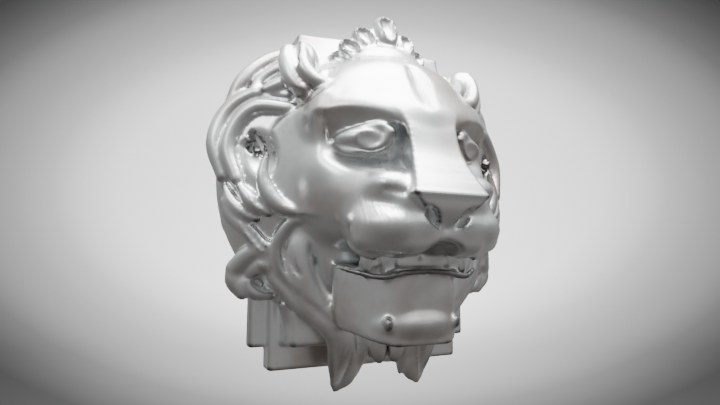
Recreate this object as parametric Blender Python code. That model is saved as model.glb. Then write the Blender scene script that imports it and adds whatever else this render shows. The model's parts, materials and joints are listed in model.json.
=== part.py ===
"""Lion head wall mask: a cast metal lion's face in a ring of mane locks, flat at the back for the wall."""

import math
from dataclasses import dataclass
from typing import Callable

import bmesh
import bpy
import numpy as np
import openvdb
from mathutils import Euler

# The clay is worked in millimetres, on the half at +X, and turned into metres when it becomes a mesh.
MM = 0.001
GRAIN = 2.5
FAR = 60.0
TRIANGLES = 9300

# The head, seen from the front: x to the side, z up, y negative towards the viewer. The mane's rim lies at y 0.
WALL = 20.0
RUFF_HALF_WIDTH = 176.0
RUFF_HALF_HEIGHT = 168.0
RUFF_MIDDLE = 10.0
RUFF_DEPTH = 74.0
CROWN_HALF_WIDTH = 93.0
CROWN_TOP = 180.0
BROW_TURN = 36.0

# The nose, from below to above: height, front and half width.
BRIDGE = (
    (-22, -177, 38.5), (-10, -171, 34.5), (2, -164, 31), (16, -156, 28), (27, -150.5, 26.5),
    (37, -147, 26.5), (49, -144, 28), (58, -141, 31), (68, -131, 33), (82, -114, 34),
)
NOSE_FRONT = (
    (-57, -148, 2), (-52, -156, 6), (-44, -167, 15), (-35, -173, 25), (-28, -175.5, 33), (-21, -177, 38),
)

# The petals of the forelock: foot, tip and half width.
PETALS = (
    ((0, -52, 166), (0, -45, 188), 14.5),
    ((21, -52, 157), (26.5, -42, 175), 11.5),
    ((34, -52, 147), (43, -40, 159), 10),
    ((44, -52, 137), (54, -38, 145), 9),
)

# The locks that lie on the ruff: points (x, z, radius) and how far each lock is lifted.
LOCKS = {
    "crown outer": ([(104, 153, 11), (126, 143, 12), (144, 124, 12), (156, 104, 11), (166, 88, 8)], 1),
    "crown middle": ([(106, 136, 9), (126, 127, 9), (141, 111, 9), (149, 98, 7)], 4),
    "crown inner": ([(106, 118, 9), (122, 110, 9), (136, 98, 8)], 5),
    "ring outer": ([(112, 92, 8), (142, 94, 11), (166, 76, 12), (175, 44, 12), (168, 6, 9)], 0),
    "ring inner": ([(110, 78, 7), (134, 79, 10), (154, 63, 10), (159, 32, 10), (151, 0, 8)], 3),
    "crescent": ([(114, 66, 6), (128, 45, 10), (137, 20, 12), (138, 0, 13), (131, -18, 12), (112, -30, 6)],
                 3),
    "leaf outer": ([(170, -4, 4), (163, -20, 7), (153, -31, 7), (142, -37, 4)], 5),
    "leaf inner": ([(157, -6, 5), (146, -21, 9), (132, -31, 5)], 6),
    "wave high": ([(166, -20, 9), (161, -33, 10), (149, -47, 9), (133, -66, 9), (124, -84, 8)], 2),
    "wave side": ([(133, -64, 9), (146, -74, 10), (156, -86, 9)], 3),
    "wave curl": ([(130, -82, 10), (141, -90, 9), (144, -101, 8), (136, -110, 8), (120, -112, 7)], 5),
    "wave foot": ([(154, -84, 9), (156, -98, 9), (147, -110, 8)], 1),
}

COLOUR = (0.72, 0.72, 0.73, 1.0)
ROUGHNESS = 0.3


@dataclass
class Form:
    """A shape of clay: the box that holds it and the distance to its surface, negative inside."""

    low: np.ndarray
    high: np.ndarray
    distance: Callable


def ball(centre, radii, turn=(0.0, 0.0, 0.0)):
    """An ellipsoid with the given half axes, turned in degrees."""
    middle = np.array(centre, float)
    axes = np.array(Euler([math.radians(a) for a in turn]).to_matrix())
    reach = np.sqrt(((axes * np.array(radii, float)) ** 2).sum(1))

    def distance(x, y, z):
        x, y, z = x - middle[0], y - middle[1], z - middle[2]
        local = [axes[0, i] * x + axes[1, i] * y + axes[2, i] * z for i in range(3)]
        scaled = np.sqrt(sum((v / r) ** 2 for v, r in zip(local, radii)))
        slope = np.sqrt(sum((v / r**2) ** 2 for v, r in zip(local, radii)))
        return scaled * (scaled - 1.0) / np.maximum(slope, 1e-4)

    return Form(middle - reach, middle + reach, distance)


def block(centre, half, edge, turn=(0.0, 0.0, 0.0), flare_y=0.0, flare_z=0.0):
    """A rounded box; its width grows by the flares along its own y and z."""
    middle = np.array(centre, float)
    axes = np.array(Euler([math.radians(a) for a in turn]).to_matrix())
    spread = 1.0 + abs(flare_y) + abs(flare_z)
    corner = np.array([half[0] * spread, half[1], half[2]])
    reach = np.abs(axes) @ corner

    def distance(x, y, z):
        x, y, z = x - middle[0], y - middle[1], z - middle[2]
        u, v, w = [axes[0, i] * x + axes[1, i] * y + axes[2, i] * z for i in range(3)]
        u = u / (1.0 + flare_y * np.clip(v / half[1], -1, 1) + flare_z * np.clip(w / half[2], -1, 1))
        over = [np.abs(c) - h + edge for c, h in zip((u, v, w), half)]
        outside = np.sqrt(sum(np.maximum(o, 0.0) ** 2 for o in over))
        inside = np.minimum(np.maximum(np.maximum(over[0], over[1]), over[2]), 0.0)
        return outside + inside - edge

    return Form(middle - reach, middle + reach, distance)


def smooth_path(points, count):
    """Points along a curve that passes through the given ones (position and radius together)."""
    knots = np.array(points, float)
    knots = np.vstack([2 * knots[0] - knots[1], knots, 2 * knots[-1] - knots[-2]])
    path = []
    for i in range(1, len(knots) - 2):
        before, start, end, after = knots[i - 1 : i + 3]
        for t in np.arange(count) / count:
            bend = 2 * before - 5 * start + 4 * end - after
            twist = 3 * (start - end) + after - before
            path.append(start + 0.5 * t * (end - before + t * (bend + t * twist)))
    path.append(knots[-2])
    return np.array(path)


def strand(points, flat=1.0):
    """A rope of clay through points (x, y, z, radius), or a ribbon flat times wider than it is thick."""
    path = smooth_path(points, 6)
    low = (path[:, :3] - path[:, 3:]).min(0)
    high = (path[:, :3] + path[:, 3:]).max(0)
    path = path * np.array([1.0, flat, 1.0, 1.0])

    def distance(x, y, z):
        nearest = None
        y = y * flat
        for start, end in zip(path, path[1:]):
            run = end[:3] - start[:3]
            length = max(float(run @ run), 1e-6)
            px, py, pz = x - start[0], y - start[1], z - start[2]
            t = np.clip((px * run[0] + py * run[1] + pz * run[2]) / length, 0.0, 1.0)
            gap = np.sqrt((px - t * run[0]) ** 2 + (py - t * run[1]) ** 2 + (pz - t * run[2]) ** 2)
            gap = gap - (start[3] + t * (end[3] - start[3]))
            nearest = gap if nearest is None else np.minimum(nearest, gap)
        return nearest

    return Form(low, high, distance)


def loft(stations, depth, edge):
    """A ridge across the middle plane through rows of height, front and half width, from below to above."""
    rows = smooth_path(stations, 8)
    low = np.array([-rows[:, 2].max(), rows[:, 1].min(), rows[0, 0]])
    high = np.array([rows[:, 2].max(), rows[:, 1].max() + depth, rows[-1, 0]])

    def distance(x, y, z):
        front = np.interp(z, rows[:, 0], rows[:, 1])
        wide = np.interp(z, rows[:, 0], rows[:, 2])
        rise = np.maximum(low[2] - z, z - high[2])
        fore = np.maximum(front - y, y - front - depth)
        over = [side + edge for side in (np.abs(x) - wide, fore, rise)]
        outside = np.sqrt(sum(np.maximum(o, 0.0) ** 2 for o in over))
        inside = np.minimum(np.maximum(np.maximum(over[0], over[1]), over[2]), 0.0)
        return outside + inside - edge

    return Form(low, high, distance)


def common(first, second):
    """What two forms have in common."""

    def distance(x, y, z):
        return np.maximum(first.distance(x, y, z), second.distance(x, y, z))

    return Form(np.maximum(first.low, second.low), np.minimum(first.high, second.high), distance)


class Clay:
    """A block of clay as a grid of distances, to which forms are added and from which they are cut."""

    def __init__(self, low, high, grain):
        self.axes = [np.arange(a, b + grain, grain, dtype=np.float32) for a, b in zip(low, high)]
        self.grain = grain
        self.field = np.full([len(axis) for axis in self.axes], FAR, np.float32)

    def _near(self, form, reach):
        window = []
        for axis, low, high in zip(self.axes, form.low - reach, form.high + reach):
            window.append(slice(int(np.searchsorted(axis, low)), int(np.searchsorted(axis, high))))
        grid = np.meshgrid(*(axis[part] for axis, part in zip(self.axes, window)), indexing="ij", sparse=True)
        return tuple(window), grid

    def add(self, form, blend=0.0):
        """Joins a form, with a fillet about as wide as blend."""
        window, grid = self._near(form, blend + 4 * self.grain)
        old, new = self.field[window], form.distance(*grid)
        soft = np.maximum(blend - np.abs(old - new), 0.0) / max(blend, 1e-6)
        self.field[window] = np.minimum(old, new) - soft * soft * blend / 4

    def cut(self, form, blend=0.0):
        """Cuts a form away, with its rim rounded by about blend."""
        window, grid = self._near(form, blend + 4 * self.grain)
        old, new = self.field[window], -form.distance(*grid)
        soft = np.maximum(blend - np.abs(old - new), 0.0) / max(blend, 1e-6)
        self.field[window] = np.maximum(old, new) + soft * soft * blend / 4

    def mesh(self, name):
        """The surface of this half and its mirror image, as one closed mesh in metres."""
        limit = 4 * self.grain
        both = np.clip(np.concatenate([self.field[:0:-1], self.field]), -limit, limit)
        for side in range(3):
            ends = np.moveaxis(both, side, 0)
            ends[0], ends[-1] = limit, limit
        volume = openvdb.FloatGrid(limit)
        volume.copyFromArray(both)
        points, quads = volume.convertToQuads()
        corner = np.array([-self.axes[0][-1], self.axes[1][0] - WALL, self.axes[2][0]])
        mesh = bpy.data.meshes.new(name)
        mesh.from_pydata((points * self.grain + corner) * MM, [], quads[:, ::-1].tolist())
        mesh.validate()
        return mesh


def ruff_front(x, z):
    """Where the ruff's plain surface lies in y, under the mane locks."""
    left = 1.0 - (x / RUFF_HALF_WIDTH) ** 2 - ((z - RUFF_MIDDLE) / RUFF_HALF_HEIGHT) ** 2
    return -RUFF_DEPTH * math.sqrt(max(left, 0.01))


def on_ruff(points, lift=0.0):
    """Lays points (x, z, radius) on the ruff's surface, lifted off it."""
    return [(x, ruff_front(x, z) - lift, z, radius) for x, z, radius in points]


def shape_back(clay):
    """The plain masses: the ruff, the crown block and the stepped blocks at the foot."""
    rear = WALL + 6
    clay.add(ball((0, 0, RUFF_MIDDLE), (RUFF_HALF_WIDTH, RUFF_DEPTH, RUFF_HALF_HEIGHT)))
    clay.add(block((0, rear / 2, 5), (166, rear / 2 + 4, 50), 6), 6)
    clay.add(block((0, rear / 2, 36), (142, rear / 2 + 4, 88), 10), 10)
    clay.add(block((0, rear / 2 - 6, 130), (CROWN_HALF_WIDTH, rear / 2 + 6, CROWN_TOP - 130), 3), 24)
    clay.add(block((0, 8 + rear / 2, -98), (136, rear / 2, 72), 3), 3)
    clay.add(block((0, rear / 2 - 1, -130), (117, rear / 2, 64), 3), 3)
    clay.add(block((0, 0, -115), (106, 28, 52), 5, flare_y=0.06), 3)


def shape_skull(clay):
    """The cranium, the cheeks and the muzzle's mass."""
    clay.add(ball((0, -30, 65), (112, 100, 85)), 10)
    clay.add(ball((62, -60, 4), (46, 52, 62)), 14)
    clay.add(ball((38, -98, -22), (46, 52, 46)), 16)


def shape_nose(clay):
    """The flat bridge, the nose's front that falls back to the lip, and the nostril."""
    clay.add(loft(BRIDGE, 60, 1.5), 5)
    clay.add(loft(NOSE_FRONT, 40, 2), 2)
    clay.cut(strand([(29, -178, -32, 2), (23, -178, -38, 4), (18, -172, -47, 3), (14, -166, -52, 1)]), 2)


def shape_brow(clay):
    """The overhanging brow with the eye's socket under it."""
    clay.add(strand([(0, -121, 55, 22), (34, -116, 57, 21), (62, -101, 61, 20), (86, -86, 61, 16)]), 18)
    clay.add(ball((84, -84, 80), (13, 13, 10)), 12)
    clay.cut(strand([(0, -108, 118, 3), (2, -127, 101, 8), (2, -139, 84, 7), (2, -148, 68, 3)]), 8)
    clay.cut(ball((66, -134, 34), (50, 34, 27), (0, 0, BROW_TURN)), 12)
    edge = block((70, -128, 40), (41, 24, 17), 2, (0, -3, BROW_TURN))
    clay.cut(common(edge, ball((66, -134, 36), (54, 39, 30), (0, 0, BROW_TURN))), 2)
    clay.cut(block((41, -142, 36), (13.5, 20, 18), 2, (0, 0, 6)), 2)


def shape_muzzle(clay):
    """The whisker pads with the parting between them, and the puff above each."""
    clay.add(ball((42, -122, -48), (43, 44, 25)), 14)
    clay.add(ball((20, -136, -46), (20, 33, 21)), 8)
    clay.add(ball((44, -142, -12), (21, 19, 14)), 10)
    clay.cut(ball((42, -165, -24), (10, 8, 4)), 4)
    clay.cut(ball((0, -154, -78), (20, 34, 17)), 4)
    clay.cut(strand([(0, -166, -50, 2), (0, -163, -58, 3), (0, -156, -66, 5)]), 3)
    clay.add(strand([(84, -112, -56, 2), (70, -121, -68, 4), (50, -129, -74, 4.5), (30, -134, -73, 3)]), 6)


def shape_jaw(clay):
    """The open mouth, the gums, the lower jaw and the teeth."""
    mass = block((0, -84, -121), (57, 39, 60), 22, flare_y=0.32)
    clay.add(common(mass, block((0, -80, -117), (120, 80, 33), 8, (9, 0, 0))), 5)
    clay.cut(strand([(92, -56, -146, 20), (62, -92, -168, 18), (44, -118, -176, 16)]), 12)
    clay.add(ball((0, -100, -133), (46, 26, 16)), 12)
    clay.add(ball((36, -114, -134), (8, 8, 9)), 6)
    clay.cut(strand([(0, -130, -79, 9), (24, -128, -80, 9), (44, -122, -86, 9), (64, -108, -82, 8),
                     (78, -94, -76, 5)]), 3)
    clay.cut(block((0, -112, -80), (52, 22, 8), 5), 3)
    clay.add(strand([(44, -104, -74, 9), (22, -118, -77, 11), (0, -122, -76, 11)]), 6)
    clay.add(strand([(35, -121, -62, 10), (35, -121, -80, 8), (34, -119, -93, 4)]), 2)
    clay.add(strand([(49, -114, -68, 6), (49, -113, -82, 6), (47, -112, -94, 4)]), 2)


def shape_eye(clay):
    """The eyeball, its hollow pupil and the lids."""
    clay.add(ball((60, -101, 37), (29, 18, 14), (0, 0, BROW_TURN)), 3)
    outer, inner = (86, -90, 35, 2), (38, -130, 39, 3)
    clay.add(strand([outer, (75, -104, 46, 3), (58, -118, 51, 4), (44, -128, 48, 4), inner]), 3)
    clay.add(strand([outer, (74, -104, 28, 3), (58, -116, 22, 4), (45, -126, 25, 4), inner]), 5)
    clay.cut(ball((55, -122, 37), (11, 7, 9), (0, 0, BROW_TURN)), 3)


def shape_ear(clay):
    """The ear: a hollow facing inward, a thick ridge in front and a slot on its outer side."""
    clay.add(ball((98, -50, 122), (17, 20, 28)), 6)
    clay.add(strand([(113, -44, 140, 9), (115, -50, 126, 10), (112, -58, 108, 10), (104, -66, 92, 9)]), 3)
    clay.add(strand([(103, -58, 141, 7), (105, -64, 131, 8), (103, -70, 114, 8.5), (93, -76, 101, 8),
                     (79, -80, 97, 7)]), 2)
    clay.cut(ball((83, -84, 127), (13, 26, 22), (0, 0, 15)), 2)
    clay.cut(strand([(109, -56, 150, 3), (111, -64, 135, 5), (110, -69, 119, 3)]), 1)
    clay.cut(ball((80, -80, 110), (7, 14, 5), (0, 40, 0)), 1)
    clay.cut(strand([(118, -64, 90, 4), (104, -82, 84, 5), (94, -92, 88, 4)]), 3)


def shape_crest(clay):
    """The forelock that stands like a scallop shell on the forehead, each petal hollow in front."""
    clay.add(ball((0, -44, 132), (53, 35, 38)), 8)
    petals = [(np.array(foot, float), np.array(tip, float), half) for foot, tip, half in PETALS]
    clay.add(strand([(*(tip + (0, 4, -4)), 0.72 * half) for foot, tip, half in petals]), 3)
    for foot, tip, half in petals:
        low, middle = foot + (0, 12, -10), (foot + tip) / 2
        clay.add(strand([(*low, 0.9 * half), (*middle, 0.95 * half), (*tip, half)]), 2)
    for foot, tip, half in petals:
        out, fore = (tip - foot) / np.linalg.norm(tip - foot), np.array([0.0, -half, 0.0])
        stops = [(foot + 0.35 * fore, 0.1), ((foot + tip) / 2 + 0.75 * fore, 0.5)]
        stops += [(tip + 0.85 * fore, 0.72), (tip + half * out + 0.85 * fore, 0.85)]
        clay.cut(strand([(*place, share * half) for place, share in stops]), 1)


def shape_mane(clay):
    """The locks that lie on the ruff, with the recess inside their ring."""
    clay.cut(ball((143, -54, 42), (22, 18, 32), (0, 20, 0)), 3)
    clay.cut(block((142, -44, 45), (9, 12, 12), 1, (15, 40, 30)), 1)
    for points, lift in LOCKS.values():
        clay.add(strand(on_ruff(points, lift)), 2)
    clay.cut(strand(on_ruff([(108, 146, 3), (128, 136, 4), (144, 118, 4), (154, 100, 2)], 10)), 2)
    clay.cut(strand(on_ruff([(100, 20, 3), (112, 6, 6), (114, -10, 7), (106, -24, 4)], 20)), 2)


def shape_leaf(clay):
    """The broad leaf behind the mouth's corner, in its curled rim."""
    face = [(88, -46, -42, 13), (95, -44, -64, 19), (92, -42, -92, 20), (80, -42, -118, 18)]
    clay.add(strand(face, 1.4), 3)
    rim = [(92, -60, -34, 5), (108, -57, -38, 6), (118, -51, -51, 6.5), (122, -46, -67, 6.5)]
    rim += [(118, -44, -84, 6), (110, -45, -95, 5), (99, -47, -104, 5.5)]
    clay.add(strand(rim), 2)


def shape_beard(clay):
    """The long locks that hang beside and under the jaw."""
    clay.add(block((0, -8, -128), (44, 24, 54), 12), 8)
    clay.add(strand([(30, -24, -178, 10), (14, -26, -180, 9), (0, -26, -180, 8)]), 6)
    side = [(84, -42, -112, 18), (66, -44, -134, 17), (49, -40, -154, 16), (41, -33, -176, 14)]
    clay.add(strand([*side, (40, -28, -196, 12), (47, -24, -207, 7), (51, -22, -216, 1)], 1.5), 3)
    ridge = [(126, -32, -80, 7), (118, -36, -98, 8), (103, -38, -116, 8), (88, -42, -130, 7)]
    ridge += [(72, -46, -144, 6), (62, -42, -160, 5), (57, -33, -184, 5), (53, -24, -207, 2)]
    clay.add(strand(ridge), 5)
    clay.add(strand([(104, -20, -124, 8), (97, -17, -142, 8), (96, -15, -156, 6), (94, -13, -166, 2)]), 3)
    clay.add(strand([(96, -17, -148, 6), (86, -16, -158, 5), (73, -18, -158, 3)]), 3)
    clay.add(strand([(28, -44, -140, 8), (25, -38, -164, 8), (27, -28, -188, 6), (28, -22, -203, 2)]), 3)
    clay.add(ball((12, -46, -162), (11, 9, 24), (0, 10, 0)), 2)


def drop_bubbles(mesh):
    """Removes the small bubbles that forms can enclose between them, so that one closed surface is left."""
    work = bmesh.new()
    work.from_mesh(mesh)
    left, bodies = set(work.verts), []
    while left:
        body = [left.pop()]
        for vertex in body:
            near = {edge.other_vert(vertex) for edge in vertex.link_edges} & left
            left -= near
            body.extend(near)
        bodies.append(body)
    bodies.sort(key=len)
    for body in bodies[:-1]:
        bmesh.ops.delete(work, geom=body, context="VERTS")
    work.to_mesh(mesh)
    work.free()


def model_head():
    """Works the clay and returns the head as a mesh."""
    clay = Clay((0, -190, -224), (200, WALL + 12, 212), GRAIN)
    for shape in (shape_back, shape_skull, shape_brow, shape_muzzle, shape_nose, shape_jaw, shape_eye):
        shape(clay)
    for shape in (shape_crest, shape_ear, shape_mane, shape_leaf, shape_beard):
        shape(clay)
    mesh = clay.mesh("lion_head_mask")
    drop_bubbles(mesh)
    return mesh


def cast_metal():
    """The satin silver metal of the casting."""
    metal = bpy.data.materials.new("cast_metal")
    metal.use_nodes = True
    shader = metal.node_tree.nodes["Principled BSDF"]
    shader.inputs["Base Color"].default_value = COLOUR
    shader.inputs["Metallic"].default_value = 1.0
    shader.inputs["Roughness"].default_value = ROUGHNESS
    return metal


def new_collection(name):
    """A collection linked to the scene."""
    collection = bpy.data.collections.new(name)
    bpy.context.scene.collection.children.link(collection)
    return collection


def wall_cutter(collection):
    """The box that cuts the back flat at the wall."""
    bpy.ops.mesh.primitive_cube_add(size=1.0, location=(0.0, 0.05, 0.0))
    cutter = bpy.context.object
    cutter.name = "wall_cutter"
    cutter.scale = (0.6, 0.1, 0.6)
    cutter.hide_render = True
    cutter.display_type = "WIRE"
    for owner in list(cutter.users_collection):
        owner.objects.unlink(cutter)
    collection.objects.link(cutter)
    return cutter


def main():
    for old in list(bpy.data.objects):
        bpy.data.objects.remove(old)
    parts = new_collection("lion_head_wall_mask")
    cutters = new_collection("cutters")
    head = bpy.data.objects.new("lion_head_mask", model_head())
    parts.objects.link(head)
    head.data.materials.append(cast_metal())
    thin = head.modifiers.new("thin out", "DECIMATE")
    thin.ratio = TRIANGLES / (2 * len(head.data.polygons))
    flat = head.modifiers.new("flat back", "BOOLEAN")
    flat.object = wall_cutter(cutters)


main()
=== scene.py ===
"""Lion head wall mask: the cast face in full relief, in satin silver metal, before a pale studio sweep."""

from __future__ import annotations

import json
import logging
import math
from dataclasses import dataclass
from enum import Enum
from typing import Callable, Sequence

import bpy
import numpy as np
import openvdb
from mathutils import Euler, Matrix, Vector

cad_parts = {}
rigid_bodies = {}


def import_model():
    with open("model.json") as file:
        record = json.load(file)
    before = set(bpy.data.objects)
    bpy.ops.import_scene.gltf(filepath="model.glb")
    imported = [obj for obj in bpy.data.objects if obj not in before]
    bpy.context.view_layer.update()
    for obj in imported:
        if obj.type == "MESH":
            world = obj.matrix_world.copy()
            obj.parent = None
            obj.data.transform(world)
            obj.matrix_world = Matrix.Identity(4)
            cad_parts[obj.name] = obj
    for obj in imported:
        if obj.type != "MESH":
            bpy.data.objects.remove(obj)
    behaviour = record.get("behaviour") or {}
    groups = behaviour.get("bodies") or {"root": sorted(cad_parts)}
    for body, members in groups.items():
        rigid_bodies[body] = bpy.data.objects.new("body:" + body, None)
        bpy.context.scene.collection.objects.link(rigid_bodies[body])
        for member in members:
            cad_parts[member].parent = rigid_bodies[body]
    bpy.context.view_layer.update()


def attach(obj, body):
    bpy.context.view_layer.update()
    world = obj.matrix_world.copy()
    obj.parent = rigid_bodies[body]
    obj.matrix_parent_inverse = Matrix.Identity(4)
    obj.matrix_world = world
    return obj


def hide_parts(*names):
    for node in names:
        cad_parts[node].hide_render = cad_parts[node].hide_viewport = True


LOG = logging.getLogger("lion_head")
NODE = "lion_head_mask"
BODY = "root"

# The clay is worked in millimetres on the half at +X: x to the side, z up, y negative towards the viewer.
MM = 0.001
WALL = 20.0
FAR = 60.0

# A place, sizes or angles.
Point = Sequence[float]
# Points in a row, most of them knots as (x, y, z, radius).
Path = tuple[Point, ...]
# A middle, and how far the form reaches from it to each side.
Span = tuple[Point, Point]
# Two numbers that belong together: the ends of a soft step, a noise's scale and detail.
Pair = tuple[float, float]
Colour = tuple[float, float, float]


class Maths(Enum):
    """What a Math node of the finishes does."""

    ADD = "ADD"
    SUBTRACT = "SUBTRACT"
    MULTIPLY = "MULTIPLY"
    DIVIDE = "DIVIDE"
    ABSOLUTE = "ABSOLUTE"


@dataclass
class Form:
    """A shape of clay: the box that holds it and the distance to its surface, negative inside."""

    low: np.ndarray
    high: np.ndarray
    distance: Callable[..., np.ndarray]


def turned(turn: Point) -> np.ndarray:
    """The axes of a form turned by angles in degrees, as a matrix."""
    return np.array(Euler([math.radians(angle) for angle in turn]).to_matrix())


def rounded(over: list[np.ndarray], edge: float) -> np.ndarray:
    """The distance to a rounded box.

    Args:
        over: how far a place lies past each pair of faces, less the edge's radius.
        edge: the radius of the box's edges.

    Returns:
        The distance, negative inside.
    """
    outside = np.sqrt(sum(np.maximum(o, 0.0) ** 2 for o in over))
    inside = np.minimum(np.maximum(np.maximum(over[0], over[1]), over[2]), 0.0)
    return outside + inside - edge


def ball(centre: Point, radii: Point, turn: Point = (0.0, 0.0, 0.0)) -> Form:
    """An ellipsoid.

    Args:
        centre: its middle.
        radii: its three half axes.
        turn: its turn in degrees.

    Returns:
        The form.
    """
    middle, axes = np.array(centre, float), turned(turn)
    reach = np.sqrt(((axes * np.array(radii, float)) ** 2).sum(1))

    def distance(x: np.ndarray, y: np.ndarray, z: np.ndarray) -> np.ndarray:
        """The distance to the ellipsoid, true close to its surface.

        Args:
            x, y, z: the places, in millimetres.

        Returns:
            The distances, negative inside.
        """
        x, y, z = x - middle[0], y - middle[1], z - middle[2]
        local = [axes[0, i] * x + axes[1, i] * y + axes[2, i] * z for i in range(3)]
        scaled = np.sqrt(sum((v / r) ** 2 for v, r in zip(local, radii)))
        slope = np.sqrt(sum((v / r**2) ** 2 for v, r in zip(local, radii)))
        return scaled * (scaled - 1.0) / np.maximum(slope, 1e-4)

    return Form(middle - reach, middle + reach, distance)


def block(centre: Point, half: Point, edge: float, turn: Point = (0.0, 0.0, 0.0), flare: float = 0.0) -> Form:
    """A rounded box whose width may grow towards its back.

    Args:
        centre: its middle.
        half: its half sizes.
        edge: the radius of its edges.
        turn: its turn in degrees.
        flare: the share by which its width grows towards its +y end.

    Returns:
        The form.
    """
    middle, axes = np.array(centre, float), turned(turn)
    reach = np.abs(axes) @ np.array([half[0] * (1.0 + abs(flare)), half[1], half[2]])

    def distance(x: np.ndarray, y: np.ndarray, z: np.ndarray) -> np.ndarray:
        """The distance to the box.

        Args:
            x, y, z: the places, in millimetres.

        Returns:
            The distances, negative inside.
        """
        x, y, z = x - middle[0], y - middle[1], z - middle[2]
        u, v, w = [axes[0, i] * x + axes[1, i] * y + axes[2, i] * z for i in range(3)]
        u = u / (1.0 + flare * np.clip(v / half[1], -1, 1))
        return rounded([np.abs(c) - h + edge for c, h in zip((u, v, w), half)], edge)

    return Form(middle - reach, middle + reach, distance)


def smooth_path(points: Sequence[Point], steps: int = 6) -> np.ndarray:
    """Points along a curve through the given ones, with what belongs to each.

    Args:
        points: the knots, each a position and a radius.
        steps: how many steps lie between two knots.

    Returns:
        One row for each point of the curve.
    """
    knots = np.array(points, float)
    knots = np.vstack([2 * knots[0] - knots[1], knots, 2 * knots[-1] - knots[-2]])
    path = []
    for i in range(1, len(knots) - 2):
        before, start, end, after = knots[i - 1 : i + 3]
        for t in np.arange(steps) / steps:
            bend = 2 * before - 5 * start + 4 * end - after
            twist = 3 * (start - end) + after - before
            path.append(start + 0.5 * t * (end - before + t * (bend + t * twist)))
    path.append(knots[-2])
    return np.array(path)


def strand(points: Sequence[Point], flat: float = 1.0) -> Form:
    """A rope of clay, or a ribbon that faces the viewer.

    Args:
        points: its knots as (x, y, z, radius).
        flat: how many times wider than thick it is.

    Returns:
        The form.
    """
    path = smooth_path(points)
    low = (path[:, :3] - path[:, 3:]).min(0)
    high = (path[:, :3] + path[:, 3:]).max(0)
    path = path * np.array([1.0, flat, 1.0, 1.0])

    def distance(x: np.ndarray, y: np.ndarray, z: np.ndarray) -> np.ndarray:
        """The distance to the nearest stretch of the rope.

        Args:
            x, y, z: the places, in millimetres.

        Returns:
            The distances, negative inside.
        """
        nearest, y = None, y * flat
        for start, end in zip(path, path[1:]):
            run = end[:3] - start[:3]
            length = max(float(run @ run), 1e-6)
            px, py, pz = x - start[0], y - start[1], z - start[2]
            t = np.clip((px * run[0] + py * run[1] + pz * run[2]) / length, 0.0, 1.0)
            gap = np.sqrt((px - t * run[0]) ** 2 + (py - t * run[1]) ** 2 + (pz - t * run[2]) ** 2)
            gap = gap - (start[3] + t * (end[3] - start[3]))
            nearest = gap if nearest is None else np.minimum(nearest, gap)
        return nearest

    return Form(low, high, distance)


def loft(stations: Sequence[Point], depth: float, edge: float) -> Form:
    """A ridge across the middle plane, given by its outline from below to above.

    Args:
        stations: rows of height, front and half width, through which a smooth curve is fitted.
        depth: how far it reaches back from its front.
        edge: the radius of its edges.

    Returns:
        The form.
    """
    given = np.array(stations, float)
    heights = np.linspace(given[0, 0], given[-1, 0], 200)
    degree = min(5, len(given) - 2)
    fronts, widths = (np.polyval(np.polyfit(given[:, 0], given[:, side], degree), heights) for side in (1, 2))
    low = np.array([-widths.max(), fronts.min(), heights[0]])
    high = np.array([widths.max(), fronts.max() + depth, heights[-1]])

    def distance(x: np.ndarray, y: np.ndarray, z: np.ndarray) -> np.ndarray:
        """The distance to the ridge, nearly true where its outline is steep.

        Args:
            x, y, z: the places, in millimetres.

        Returns:
            The distances, negative inside.
        """
        front, wide = (np.interp(z, heights, curve) for curve in (fronts, widths))
        rise = np.maximum(low[2] - z, z - high[2])
        fore = np.maximum(front - y, y - front - depth)
        return rounded([side + edge for side in (np.abs(x) - wide, fore, rise)], edge)

    return Form(low, high, distance)


def common(first: Form, second: Form) -> Form:
    """What two forms have in common.

    Args:
        first: one form.
        second: the other.

    Returns:
        The form.
    """

    def distance(x: np.ndarray, y: np.ndarray, z: np.ndarray) -> np.ndarray:
        """The larger of the two distances."""
        return np.maximum(first.distance(x, y, z), second.distance(x, y, z))

    return Form(np.maximum(first.low, second.low), np.minimum(first.high, second.high), distance)


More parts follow.
